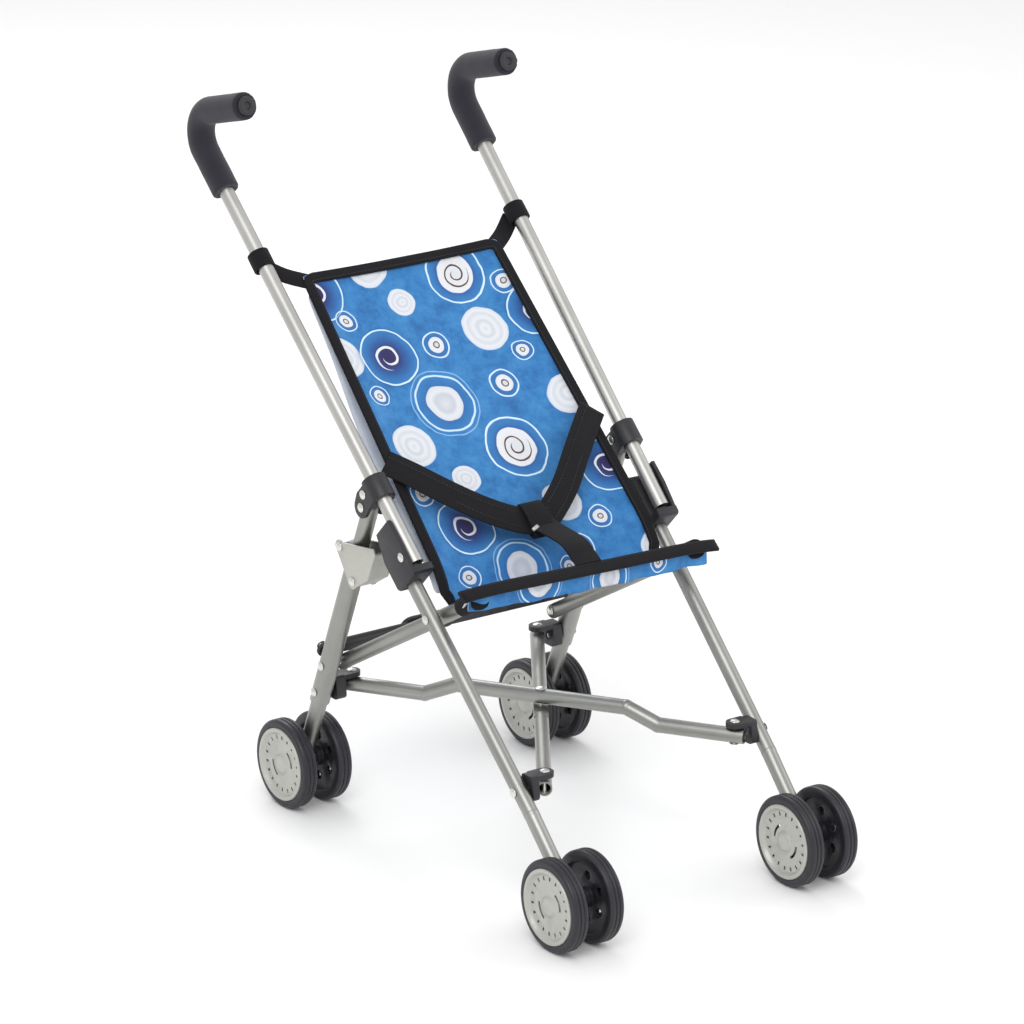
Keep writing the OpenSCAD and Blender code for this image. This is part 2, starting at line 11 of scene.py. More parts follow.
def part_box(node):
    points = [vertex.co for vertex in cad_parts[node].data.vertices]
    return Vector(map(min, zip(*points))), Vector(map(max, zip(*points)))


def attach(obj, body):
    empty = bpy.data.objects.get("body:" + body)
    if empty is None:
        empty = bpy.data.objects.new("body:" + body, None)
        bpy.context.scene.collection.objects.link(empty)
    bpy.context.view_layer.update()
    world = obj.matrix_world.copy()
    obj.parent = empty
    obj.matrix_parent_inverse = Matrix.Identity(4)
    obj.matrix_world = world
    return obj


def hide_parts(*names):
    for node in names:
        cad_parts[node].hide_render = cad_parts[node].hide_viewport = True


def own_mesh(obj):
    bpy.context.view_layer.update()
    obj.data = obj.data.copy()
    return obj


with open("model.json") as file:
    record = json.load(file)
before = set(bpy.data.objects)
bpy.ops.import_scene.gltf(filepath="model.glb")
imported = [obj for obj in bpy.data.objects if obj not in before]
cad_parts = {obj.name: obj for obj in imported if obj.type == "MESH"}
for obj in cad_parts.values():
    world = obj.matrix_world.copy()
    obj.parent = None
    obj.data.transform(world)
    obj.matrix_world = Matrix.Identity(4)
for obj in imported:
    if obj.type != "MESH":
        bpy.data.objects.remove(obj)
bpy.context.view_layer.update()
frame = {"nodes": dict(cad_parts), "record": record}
MM = 0.001
SIDES = (("left", -1), ("right", 1))


# ---- Camera -----------------------------------------------------------------
# A long lens at the stroller's front left, a little above the handles, aimed at
# the middle of the seat and turned very slightly.
AIM = Vector((0.0, 0.0064, 0.2525))
AZIMUTH, ELEVATION, ROLL = math.radians(-35.64), math.radians(19.09), math.radians(0.40)
DISTANCE = 4.2205
camera_data = bpy.data.cameras.new("camera")
camera_data.lens = 191.7
camera_data.sensor_width = 36.0
camera_data.clip_end = 40.0
camera = bpy.data.objects.new("camera", camera_data)
bpy.context.scene.collection.objects.link(camera)
to_camera = Vector((math.cos(ELEVATION) * math.sin(AZIMUTH),
                    -math.cos(ELEVATION) * math.cos(AZIMUTH), math.sin(ELEVATION)))
camera.location = AIM + DISTANCE * to_camera
looking = (-to_camera).to_track_quat("-Z", "Y").to_matrix() @ Matrix.Rotation(ROLL, 3, "Z")
camera.rotation_euler = looking.to_euler()
bpy.context.scene.camera = camera


# ---- Floor and studio light ---------------------------------------------------
# A white paper floor under broad soft lamps: one large key above on the left, a
# weaker fill on the right and a strip behind that draws bright lines on the tubes.
def linear(code):
    """An sRGB hex colour as the linear RGBA that the shaders take."""
    channels = [int(code[i:i + 2], 16) / 255 for i in (1, 3, 5)]
    return [c / 12.92 if c <= 0.04045 else ((c + 0.055) / 1.055) ** 2.4 for c in channels] + [1.0]


def add(tree, kind, inputs=None, **settings):
    """Adds a node; each input is a value or the socket that feeds it."""
    node = tree.nodes.new(kind)
    for key, value in settings.items():
        setattr(node, key, value)
    for key, value in (inputs or {}).items():
        if isinstance(value, bpy.types.NodeSocket):
            tree.links.new(value, node.inputs[key])
        else:
            node.inputs[key].default_value = value
    return node


def new_finish(name, **sockets):
    """A material and its Principled shader with the given sockets set."""
    material = bpy.data.materials.new(name)
    material.use_nodes = True
    shader = material.node_tree.nodes["Principled BSDF"]
    for key, value in sockets.items():
        shader.inputs[key.replace("_", " ")].default_value = value
    return material, material.node_tree, shader


def from_mesh(name, mesh, *materials):
    """A new object at the origin that holds the mesh."""
    piece = bpy.data.objects.new(name, mesh)
    bpy.context.scene.collection.objects.link(piece)
    for material in materials:
        mesh.materials.append(material)
    return piece


paper, paper_tree, paper_shader = new_finish("white_paper", Roughness=0.9)
paper_shader.inputs["Base Color"].default_value = linear("#f7f7f7")
floor_mesh = bpy.data.meshes.new("floor")
floor_mesh.from_pydata([(-6, -6, 0), (6, -6, 0), (6, 6, 0), (-6, 6, 0)], [], [(0, 1, 2, 3)])
from_mesh("floor", floor_mesh, paper)

world = bpy.data.worlds.new("studio")
world.use_nodes = True
world.node_tree.nodes["Background"].inputs["Color"].default_value = linear("#ffffff")
world.node_tree.nodes["Background"].inputs["Strength"].default_value = 0.82
bpy.context.scene.world = world
bpy.context.scene.view_settings.view_transform = "Standard"
for name, place, size, power in (("key", (-1.5, -1.6, 2.4), 1.6, 34), ("fill", (2.0, -1.2, 1.4), 1.8, 12),
                                 ("strip", (0.6, 1.9, 1.9), 1.2, 18)):
    lamp = bpy.data.lights.new(name, "AREA")
    lamp.size = size
    lamp.energy = power
    lamp_object = bpy.data.objects.new(name, lamp)
    lamp_object.location = place
    lamp_object.rotation_euler = (AIM - Vector(place)).to_track_quat("-Z", "Y").to_euler()
    bpy.context.scene.collection.objects.link(lamp_object)


# ---- Drawn aluminium tubes ------------------------------------------------------
# The side frames, rails and cross tubes are 12 mm drawn aluminium tube with a
# satin anodised coat, with faint lines along the draw. The legs are the darker.
DRAW_LINE = 0.35 * MM


def drawn_aluminium(name, turn, dark="#8f8f8b", light="#a9a9a6"):
    """Satin anodised tube whose draw lines run along local Z after the turn."""
    material, tree, shader = new_finish(name, Metallic=1.0)
    place = add(tree, "ShaderNodeTexCoord")
    along = add(tree, "ShaderNodeMapping", {"Vector": place.outputs["Object"], "Rotation": turn,
                                            "Scale": (1.0, 1.0, 0.02)})
    lines = add(tree, "ShaderNodeTexNoise", {"Vector": along.outputs[0], "Scale": 1 / DRAW_LINE,
                                             "Detail": 3.0})
    cloudy = add(tree, "ShaderNodeTexNoise", {"Vector": place.outputs["Object"], "Scale": 28.0,
                                              "Detail": 2.0})
    tint = add(tree, "ShaderNodeValToRGB", {"Fac": cloudy.outputs["Fac"]})
    tint.color_ramp.elements[0].color = linear(dark)
    tint.color_ramp.elements[1].color = linear(light)
    rough = add(tree, "ShaderNodeMapRange", {"Value": lines.outputs["Fac"], "To Min": 0.34,
                                             "To Max": 0.48})
    bump = add(tree, "ShaderNodeBump", {"Height": lines.outputs["Fac"], "Strength": 0.12,
                                        "Distance": 0.05 * MM})
    tree.links.new(tint.outputs["Color"], shader.inputs["Base Color"])
    tree.links.new(rough.outputs["Result"], shader.inputs["Roughness"])
    tree.links.new(bump.outputs["Normal"], shader.inputs["Normal"])
    return material


def slope_of(node):
    """How far a rod in the side plane leans from upright, from its box."""
    low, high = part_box(node)
    return math.atan2(high[1] - low[1], high[2] - low[2])


def give(node, material):
    """A CAD node keeps its shape and takes a finish."""
    slots = frame["nodes"][node].data.materials
    slots.clear()
    slots.append(material)


MAIN_LEAN = math.radians(47.0)
rear_lean = -slope_of("rear_leg_left")
cross_low, cross_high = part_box("cross_tube_straight")
cross_turn = math.atan2(cross_high[1] - cross_low[1], cross_high[0] - cross_low[0])
tube_main = drawn_aluminium("anodised_aluminium_main", (MAIN_LEAN, 0, 0), "#b3b2ae", "#cfcecb")
tube_leg = drawn_aluminium("anodised_aluminium_front_leg", (MAIN_LEAN, 0, 0))
tube_rear = drawn_aluminium("anodised_aluminium_rear_leg", (rear_lean, 0, 0))
tube_rail = drawn_aluminium("anodised_aluminium_rail", (math.radians(-60), 0, 0))
tube_straight = drawn_aluminium("anodised_aluminium_cross", (0, math.radians(90), -cross_turn))
tube_bent = drawn_aluminium("anodised_aluminium_cross_bent", (0, math.radians(90), cross_turn))
for side, _ in SIDES:
    give(f"handle_tube_{side}", tube_main)
    give(f"front_leg_{side}", tube_leg)
    give(f"rear_leg_{side}", tube_rear)
    give(f"seat_rail_{side}", tube_rail)
give("cross_tube_straight", tube_straight)
give("cross_tube_bent", tube_bent)


# ---- Moulded black hardware ------------------------------------------------------
# Collars, side brackets, cross-tube brackets, the folding brace and the grip
# plugs are black glass-filled nylon with a fine spark texture and soft edges.
body_of = {node: body for body, nodes in frame["record"]["behaviour"]["bodies"].items() for node in nodes}


def softened(node, material, edge, segments=2):
    """A welded copy of a CAD node with its sharp edges rounded, on the same body."""
    source = frame["nodes"][node]
    mesh = source.data.copy()
    mesh.transform(source.matrix_world)
    mesh.materials.clear()
    work = bmesh.new()
    work.from_mesh(mesh)
    bmesh.ops.remove_doubles(work, verts=work.verts, dist=2e-6)
    bmesh.ops.dissolve_limit(work, angle_limit=math.radians(1.0), verts=work.verts, edges=work.edges)
    work.to_mesh(mesh)
    work.free()
    piece = from_mesh(f"{node}_finished", mesh, material)
    round_edges = piece.modifiers.new("edges", "BEVEL")
    round_edges.width = edge
    round_edges.segments = segments
    round_edges.limit_method = "ANGLE"
    round_edges.angle_limit = math.radians(32)
    finished = applied(piece)
    for face in finished.data.polygons:
        face.use_smooth = True
    finished.data.set_sharp_from_angle(angle=math.radians(38))
    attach(finished, body_of[node])
    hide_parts(node)
    return finished


def applied(piece):
    """The piece with its modifiers made part of a plain mesh."""
    bpy.context.view_layer.update()
    graph = bpy.context.evaluated_depsgraph_get()
    mesh = bpy.data.meshes.new_from_object(piece.evaluated_get(graph))
    piece.modifiers.clear()
    piece.data = mesh
    return piece


nylon, tree, shader = new_finish("spark_textured_nylon", IOR=1.5)
place = add(tree, "ShaderNodeTexCoord")
spark = add(tree, "ShaderNodeTexNoise", {"Vector": place.outputs["Object"], "Scale": 1 / (0.4 * MM),
                                         "Detail": 2.0})
worn = add(tree, "ShaderNodeTexNoise", {"Vector": place.outputs["Object"], "Scale": 90.0, "Detail": 4.0})
shade = add(tree, "ShaderNodeValToRGB", {"Fac": worn.outputs["Fac"]})
shade.color_ramp.elements[0].color = linear("#19191c")
shade.color_ramp.elements[1].color = linear("#2a2a2f")
gloss = add(tree, "ShaderNodeMapRange", {"Value": worn.outputs["Fac"], "To Min": 0.36, "To Max": 0.55})
bump = add(tree, "ShaderNodeBump", {"Height": spark.outputs["Fac"], "Strength": 0.25,
                                    "Distance": 0.08 * MM})
tree.links.new(shade.outputs["Color"], shader.inputs["Base Color"])
tree.links.new(gloss.outputs["Result"], shader.inputs["Roughness"])
tree.links.new(bump.outputs["Normal"], shader.inputs["Normal"])
for side, _ in SIDES:
    for node in (f"collar_{side}", f"side_bracket_{side}", f"front_bracket_{side}",
                 f"rear_bracket_{side}", f"grip_plug_{side}"):
        softened(node, nylon, 0.6 * MM, 3)
    softened(f"lock_brace_{side}", nylon, 0.4 * MM)


# ---- Gusset plates ----------------------------------------------------------------
# Pressed aluminium channels on the rear legs, left bare and brushed, so duller
# and flatter than the tubes, with rolled edges.
pressed, tree, shader = new_finish("brushed_sheet_aluminium", Metallic=1.0)
place = add(tree, "ShaderNodeTexCoord")
brush = add(tree, "ShaderNodeMapping", {"Vector": place.outputs["Object"], "Scale": (1.0, 0.05, 1.0)})
scratch = add(tree, "ShaderNodeTexNoise", {"Vector": brush.outputs[0], "Scale": 1 / (0.5 * MM),
                                           "Detail": 4.0})
tint = add(tree, "ShaderNodeValToRGB", {"Fac": scratch.outputs["Fac"]})
tint.color_ramp.elements[0].color = linear("#b2b2ab")
tint.color_ramp.elements[1].color = linear("#cdcdc6")
rough = add(tree, "ShaderNodeMapRange", {"Value": scratch.outputs["Fac"], "To Min": 0.42, "To Max": 0.58})
tree.links.new(tint.outputs["Color"], shader.inputs["Base Color"])
tree.links.new(rough.outputs["Result"], shader.inputs["Roughness"])
for side, _ in SIDES:
    softened(f"gusset_{side}", pressed, 0.35 * MM)


# ---- Rivets, axles and the centre bolt -----------------------------------------------
# Zinc-plated steel, bright where it was peened. The nut under the centre bolt is
# brass, and shows below the flattened tube.
def plated(name, light, dark):
    material, tree, shader = new_finish(name, Metallic=1.0)
    place = add(tree, "ShaderNodeTexCoord")
    mottle = add(tree, "ShaderNodeTexNoise", {"Vector": place.outputs["Object"], "Scale": 420.0,
                                              "Detail": 3.0})
    tint = add(tree, "ShaderNodeValToRGB", {"Fac": mottle.outputs["Fac"]})
    tint.color_ramp.elements[0].color = linear(dark)
    tint.color_ramp.elements[1].color = linear(light)
    rough = add(tree, "ShaderNodeMapRange", {"Value": mottle.outputs["Fac"], "To Min": 0.2,
                                             "To Max": 0.38})
    tree.links.new(tint.outputs["Color"], shader.inputs["Base Color"])
    tree.links.new(rough.outputs["Result"], shader.inputs["Roughness"])
    return material, tree, shader, tint, place


zinc, *_ = plated("zinc_plated_steel", "#f0efea", "#c9c8c2")
bolt_finish, tree, shader, tint, place = plated("zinc_bolt_brass_nut", "#efeee8", "#cbc9c2")
bolt_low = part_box("centre_bolt")[0]
height = add(tree, "ShaderNodeSeparateXYZ", {"Vector": place.outputs["Object"]})
above = add(tree, "ShaderNodeMath", {0: height.outputs["Z"], 1: bolt_low[2] + 4.4 * MM},
            operation="GREATER_THAN")
colour = add(tree, "ShaderNodeMix", {"Factor": above.outputs[0]}, data_type="RGBA")
brass, steel = [s for s in colour.inputs if s.type == "RGBA"]
brass.default_value = linear("#c49a45")
tree.links.new(tint.outputs["Color"], steel)
tree.links.new([s for s in colour.outputs if s.type == "RGBA"][0], shader.inputs["Base Color"])
for side, _ in SIDES:
    for node in (f"frame_rivets_{side}", f"rear_rivets_{side}", f"front_axle_{side}",
                 f"rear_axle_{side}", f"front_bracket_rivets_{side}", f"rear_bracket_rivets_{side}"):
        softened(node, zinc, 0.25 * MM)
softened("centre_bolt", bolt_finish, 0.25 * MM)


# ---- Wheels ----------------------------------------------------------------------------
# Black moulded wheels with a soft grooved tread, and silver-grey ABS hubcaps
# clipped into their outer faces.
tyre, tree, shader = new_finish("moulded_black_tyre", IOR=1.5)
place = add(tree, "ShaderNodeTexCoord")
scuff = add(tree, "ShaderNodeTexNoise", {"Vector": place.outputs["Object"], "Scale": 160.0, "Detail": 4.0})
shade = add(tree, "ShaderNodeValToRGB", {"Fac": scuff.outputs["Fac"]})
shade.color_ramp.elements[0].color = linear("#17171d")
shade.color_ramp.elements[1].color = linear("#26262e")
gloss = add(tree, "ShaderNodeMapRange", {"Value": scuff.outputs["Fac"], "To Min": 0.32, "To Max": 0.55})
bump = add(tree, "ShaderNodeBump", {"Height": scuff.outputs["Fac"], "Strength": 0.1,
                                    "Distance": 0.1 * MM})
tree.links.new(shade.outputs["Color"], shader.inputs["Base Color"])
tree.links.new(gloss.outputs["Result"], shader.inputs["Roughness"])
tree.links.new(bump.outputs["Normal"], shader.inputs["Normal"])

silver, tree, shader = new_finish("silver_grey_abs", Metallic=0.55, IOR=1.5)
place = add(tree, "ShaderNodeTexCoord")
flake = add(tree, "ShaderNodeTexNoise", {"Vector": place.outputs["Object"], "Scale": 1 / (0.5 * MM),
                                         "Detail": 2.0})
shade = add(tree, "ShaderNodeValToRGB", {"Fac": flake.outputs["Fac"]})
shade.color_ramp.elements[0].color = linear("#a6a6a1")
shade.color_ramp.elements[1].color = linear("#c9c9c3")
gloss = add(tree, "ShaderNodeMapRange", {"Value": flake.outputs["Fac"], "To Min": 0.34, "To Max": 0.5})
tree.links.new(shade.outputs["Color"], shader.inputs["Base Color"])
tree.links.new(gloss.outputs["Result"], shader.inputs["Roughness"])
for end in ("front", "rear"):
    for side, _ in SIDES:
        for where in ("outer", "inner"):
            softened(f"wheel_{end}_{side}_{where}", tyre, 0.25 * MM)
            softened(f"hubcap_{end}_{side}_{where}", silver, 0.3 * MM)


# ---- Foam grips --------------------------------------------------------------------------
# Navy-black closed-cell foam pushed over the hooked tube ends. It has a dull
# pitted skin, rounded lips and small dents where it was rolled on.
foam, tree, shader = new_finish("closed_cell_foam", Roughness=0.88, IOR=1.45)
shader.inputs["Sheen Weight"].default_value = 0.15
shader.inputs["Sheen Roughness"].default_value = 0.6
place = add(tree, "ShaderNodeTexCoord")
cells = add(tree, "ShaderNodeTexVoronoi", {"Vector": place.outputs["Object"], "Scale": 1 / (0.9 * MM)})
dapple = add(tree, "ShaderNodeTexNoise", {"Vector": place.outputs["Object"], "Scale": 60.0, "Detail": 3.0})
shade = add(tree, "ShaderNodeValToRGB", {"Fac": dapple.outputs["Fac"]})
shade.color_ramp.elements[0].color = linear("#14131c")
shade.color_ramp.elements[1].color = linear("#23212f")
bump = add(tree, "ShaderNodeBump", {"Height": cells.outputs["Distance"], "Strength": 0.35,
                                    "Distance": 0.15 * MM})
tree.links.new(shade.outputs["Color"], shader.inputs["Base Color"])
tree.links.new(bump.outputs["Normal"], shader.inputs["Normal"])
for side, _ in SIDES:
    grip = softened(f"grip_{side}", foam, 2.6 * MM, 4)
    remesh = grip.modifiers.new("skin", "REMESH")
    remesh.mode = "VOXEL"
    remesh.voxel_size = 1.1 * MM
    smooth = grip.modifiers.new("smooth", "SMOOTH")
    smooth.iterations = 6
    applied(grip)
    for vertex in grip.data.vertices:
        dent = 0.22 * MM * noise.noise(vertex.co * 70.0)
        vertex.co += vertex.normal * dent
    for face in grip.data.polygons:
        face.use_smooth = True


# ---- Printed sling cloth ---------------------------------------------------------------------
# Plain-woven polyester, printed blue with hand-drawn rings. The reverse is the
# pale unprinted side of the same cloth. Places and radii are in millimetres on
# the cloth: across from its middle, and up from the crease.
DISCS = ((-39, 292, 19), (-19, 257, 12), (42, 220, 20), (-95, 217, 18), (-69, 133, 19), (83, 148, 18),
         (-38, 98, 12), (33, 61, 17), (-6, -34, 12), (92, 6, 11), (-104, -40, 13))
SPIRAL_RINGS = ((38, 271, 27), (18, 115, 28), (48, -30, 20))
PLAIN_RINGS = ((-24, 164, 28), (-27, 14, 24), (-50, -62, 22), (20, -70, 18))
NAVY_RINGS = ((-53, 212, 26), (-59, 57, 25), (86, 81, 24), (-92, 275, 25), (90, 225, 24), (-62, -24, 19),
              (98, -38, 20))
SMALL_RINGS = ((76, 256, 11), (-75, 249, 10), (-7, 215, 12), (35, 171, 13), (64, 195, 9), (-78, 181, 9),
               (-84, 92, 11), (-76, 16, 10), (59, 41, 10), (31, 20, 12), (14, 8, 8), (76, -14, 9), (70, -66, 9))
THREAD = 0.7 * MM                   # drawn at twice the real thread, so that it shows


def nearest(tree, point, places):
    """The point relative to the nearest motif, in that motif's radii, and its length."""
    best_place = best = None
    for x, y, radius in places:
        local = add(tree, "ShaderNodeVectorMath", {0: point, 1: (1 / radius,) * 3,
                                                   2: (-x / radius, -y / radius, 0)},
                    operation="MULTIPLY_ADD").outputs[0]
        size = add(tree, "ShaderNodeVectorMath", {0: local}, operation="LENGTH").outputs["Value"]
        if best is None:
            best_place, best = local, size
            continue
        closer = add(tree, "ShaderNodeMath", {0: size, 1: best}, operation="LESS_THAN").outputs[0]
        pick = add(tree, "ShaderNodeMix", {"Factor": closer}, data_type="VECTOR")
        kept, new = [s for s in pick.inputs if s.identifier in ("A_Vector", "B_Vector")]
        tree.links.new(best_place, kept)
        tree.links.new(local, new)
        best_place = [s for s in pick.outputs if s.type == "VECTOR"][0]
        best = add(tree, "ShaderNodeMath", {0: size, 1: best}, operation="MINIMUM").outputs[0]
    return best_place, best


def painted(tree, under, rings, stops):
    """Paints rings over a colour; stops are (radius, colour, cover), each kept to the next."""
    reach = 1.25
    scaled = add(tree, "ShaderNodeMath", {0: rings, 1: 1 / reach}, operation="MULTIPLY")
    ramp = add(tree, "ShaderNodeValToRGB", {"Fac": scaled.outputs[0]})
    stops = [(r / reach, linear(code)[:3] + [cover]) for r, code, cover in stops]
    elements = ramp.color_ramp.elements
    elements[0].position, elements[0].color = stops[0]
    elements[1].position, elements[1].color = stops[-1]
    for position, colour in stops[1:-1]:
        elements.new(position).color = colour
    mix = add(tree, "ShaderNodeMix", {"Factor": ramp.outputs["Alpha"]}, data_type="RGBA")
    below, over = [s for s in mix.inputs if s.type == "RGBA"]
    tree.links.new(under, below)
    tree.links.new(ramp.outputs["Color"], over)
    return [s for s in mix.outputs if s.type == "RGBA"][0]


def spiral(tree, place, rings, turns, inner, outer, colour, under, thickness=0.24):
    """Draws a spiral line between two radii of the motif over a colour."""
    parts = add(tree, "ShaderNodeSeparateXYZ", {"Vector": place})
    angle = add(tree, "ShaderNodeMath", {0: parts.outputs["Y"], 1: parts.outputs["X"]},
                operation="ARCTAN2")
    share = add(tree, "ShaderNodeMath", {0: angle.outputs[0], 1: -0.5 / math.pi}, operation="MULTIPLY")
    wound = add(tree, "ShaderNodeMath", {0: rings, 1: turns, 2: share.outputs[0]},
                operation="MULTIPLY_ADD")
    turn = add(tree, "ShaderNodeMath", {0: wound.outputs[0]}, operation="FRACT")
    line = add(tree, "ShaderNodeMath", {0: turn.outputs[0], 1: thickness}, operation="LESS_THAN")
    above = add(tree, "ShaderNodeMath", {0: rings, 1: inner}, operation="GREATER_THAN")
    within = add(tree, "ShaderNodeMath", {0: rings, 1: outer}, operation="LESS_THAN")
    band = add(tree, "ShaderNodeMath", {0: above.outputs[0], 1: within.outputs[0]}, operation="MULTIPLY")
    cover = add(tree, "ShaderNodeMath", {0: band.outputs[0], 1: line.outputs[0]}, operation="MULTIPLY")
    mix = add(tree, "ShaderNodeMix", {"Factor": cover.outputs[0]}, data_type="RGBA")
    below, over = [s for s in mix.inputs if s.type == "RGBA"]
    tree.links.new(under, below)
    over.default_value = linear(colour)
    return [s for s in mix.outputs if s.type == "RGBA"][0]


def woven(tree, shader, across, thread, depth):
    """A plain weave's bump: one wave for the warp and one for the weft."""
    wave_period = 0.314             # one band of a wave texture at scale 1
    threads = [add(tree, "ShaderNodeTexWave", {"Vector": across, "Scale": wave_period / thread},
                   bands_direction=way).outputs["Fac"] for way in ("X", "Y")]
    weave = add(tree, "ShaderNodeMath", {0: threads[0], 1: threads[1]}, operation="ADD")
    bump = add(tree, "ShaderNodeBump", {"Height": weave.outputs[0], "Strength": 0.3,
                                        "Distance": depth})
    tree.links.new(bump.outputs["Normal"], shader.inputs["Normal"])


cloth_print, tree, shader = new_finish("printed_polyester_weave", Roughness=0.82, IOR=1.45)
shader.inputs["Sheen Weight"].default_value = 0.12
on_cloth = add(tree, "ShaderNodeUVMap", uv_map="cloth")
in_mm = add(tree, "ShaderNodeVectorMath", {0: on_cloth.outputs["UV"], 1: (1000, 1000, 0)},
            operation="MULTIPLY")
hand = add(tree, "ShaderNodeTexNoise", {"Vector": in_mm.outputs[0], "Scale": 0.045, "Detail": 2.0})
wobble = add(tree, "ShaderNodeVectorMath", {0: hand.outputs["Color"], 1: (5, 5, 0), 2: (-2.5, -2.5, 0)},
             operation="MULTIPLY_ADD")
drawn = add(tree, "ShaderNodeVectorMath", {0: in_mm.outputs[0], 1: wobble.outputs[0]}, operation="ADD")
wash = add(tree, "ShaderNodeTexNoise", {"Vector": in_mm.outputs[0], "Scale": 0.05, "Detail": 6.0,
                                        "Roughness": 0.72})
ground = add(tree, "ShaderNodeValToRGB", {"Fac": wash.outputs["Fac"]})
ground.color_ramp.elements[0].position = 0.3
ground.color_ramp.elements[0].color = linear("#1f5a98")
ground.color_ramp.elements[1].position = 0.72
ground.color_ramp.elements[1].color = linear("#468bc4")
ground.color_ramp.elements.new(0.5).color = linear("#3079b8")
colour = ground.outputs["Color"]

place, rings = nearest(tree, drawn.outputs[0], DISCS)
colour = painted(tree, colour, rings, ((0, "#ccd0d8", 1), (0.18, "#dcdfe5", 1), (0.36, "#c6cad3", 1),
                                       (0.5, "#dcdfe5", 1), (0.7, "#cbcfd8", 1), (0.82, "#dcdfe5", 1),
                                       (0.97, "#cdd4de", 1), (1.0, "#9fb4dc", 0)))
place, rings = nearest(tree, drawn.outputs[0], PLAIN_RINGS)
colour = painted(tree, colour, rings, ((0, "#d1d4db", 1), (0.3, "#c0c4ce", 1), (0.42, "#d9dce2", 1),
                                       (0.56, "#d1d4db", 1), (0.58, "#2b69a9", 0.9), (0.8, "#2f74b4", 0.7),
                                       (0.86, "#2f74b4", 0.5), (0.875, "#c6e0f2", 1), (0.92, "#c6e0f2", 1),
                                       (0.94, "#3279b8", 0.6), (1.02, "#3279b8", 0.5), (1.03, "#8fbce6", 0.8),
                                       (1.06, "#8fbce6", 0.8), (1.07, "#3279b8", 0)))
place, rings = nearest(tree, drawn.outputs[0], SPIRAL_RINGS)
colour = painted(tree, colour, rings, ((0, "#d1d4db", 1), (0.56, "#dee1e6", 1), (0.6, "#d9dce3", 1),
                                       (0.62, "#2c5a9c", 0.95), (0.74, "#2d6fb0", 0.8), (0.9, "#2f75b5", 0.4),
                                       (0.925, "#d3e8f5", 1), (0.97, "#d3e8f5", 1), (0.975, "#3279b8", 0.5),
                                       (1.12, "#3279b8", 0)))
colour = spiral(tree, place, rings, 4.5, 0.12, 0.46, "#5b4038", colour)
place, rings = nearest(tree, drawn.outputs[0], NAVY_RINGS)
colour = painted(tree, colour, rings, ((0, "#29255a", 1), (0.25, "#29255a", 1), (0.42, "#263c7b", 0.95),
                                       (0.62, "#245697", 0.85), (0.8, "#2a69aa", 0.7), (0.91, "#2d70b0", 0.5),
                                       (0.925, "#cfe6f4", 1), (0.97, "#cfe6f4", 1), (0.975, "#1f5594", 0.5),
                                       (1.14, "#3279b8", 0)))
colour = spiral(tree, place, rings, 4.0, 0.2, 0.44, "#dee1e6", colour, 0.34)
place, rings = nearest(tree, drawn.outputs[0], SMALL_RINGS)
colour = painted(tree, colour, rings, ((0, "#ccd0d6", 1), (0.16, "#ccd0d6", 1), (0.18, "#6b5d5c", 1),
                                       (0.26, "#6b5d5c", 1), (0.28, "#dee1e6", 1), (0.58, "#d6d9e0", 1),
                                       (0.6, "#2864a3", 0.8), (0.88, "#2c6dad", 0.5), (0.9, "#cfe2f5", 1),
                                       (0.99, "#cfe2f5", 1), (1.01, "#3279b8", 0)))
tree.links.new(colour, shader.inputs["Base Color"])
woven(tree, shader, on_cloth.outputs["UV"], THREAD, 0.12 * MM)

reverse, tree, shader = new_finish("unprinted_reverse", Roughness=0.88, IOR=1.45)
on_cloth = add(tree, "ShaderNodeUVMap", uv_map="cloth")
blotch = add(tree, "ShaderNodeTexNoise", {"Vector": on_cloth.outputs["UV"], "Scale": 40.0, "Detail": 3.0})
shade = add(tree, "ShaderNodeValToRGB", {"Fac": blotch.outputs["Fac"]})
shade.color_ramp.elements[0].color = linear("#bcc5d4")
shade.color_ramp.elements[1].color = linear("#dde2ea")
tree.links.new(shade.outputs["Color"], shader.inputs["Base Color"])
woven(tree, shader, on_cloth.outputs["UV"], THREAD, 0.12 * MM)


# ---- The back ------------------------------------------------------------------------------------
# One sheet of printed cloth, bound at its edges, hung from the two top straps
# and stretched between the handle tubes. It lies in the tubes' plane and curves
# under itself into the crease.
UP = Vector((0, math.cos(math.radians(43)), math.sin(math.radians(43))))
FRONT = Vector((0, -UP.z, UP.y))    # out of the cloth, towards the doll
ACROSS = Vector((1, 0, 0))
panel_low, panel_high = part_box("back_panel")
PANEL_THICK = 2.4 * MM
# the middle of the panel's lower edge, which is 24 mm above the crease
LOWER_EDGE = Vector((0, panel_low[1], panel_low[2] + PANEL_THICK * UP.y)) - FRONT * PANEL_THICK / 2
CREASE_LINE = LOWER_EDGE - UP * 24 * MM
BACK_LENGTH = (panel_high[1] - panel_low[1] - PANEL_THICK * UP.z) / UP.y + 24 * MM
LOW_HALF = panel_high[0]
TOP_HALF = LOW_HALF - 11 * MM
CREASE_NARROWING = 10 * MM          # the cloth draws in at the crease, between the seat rails
PRINT_SHIFT = (5.6 * MM, 8.9 * MM)  # where the print was cut, from the cloth's middle and crease
TUCK = 12 * MM                      # how far the crease lies behind the tubes' plane


def half_at(up):
    """Half the back's width, metres up from the crease."""
    rise = max(0.0, min(1.0, up / BACK_LENGTH))
    return LOW_HALF + (TOP_HALF - LOW_HALF) * rise - CREASE_NARROWING * max(0.0, 1 - up / (16 * MM))


def back_at(share, up, lift=0.0):
    """A place on the back: share of the half width across, metres up, metres lifted."""
    half = half_at(up)
    tucked = TUCK * max(0.0, 1 - up / (46 * MM)) ** 2
    return CREASE_LINE + ACROSS * share * half + UP * up + FRONT * (lift - tucked)


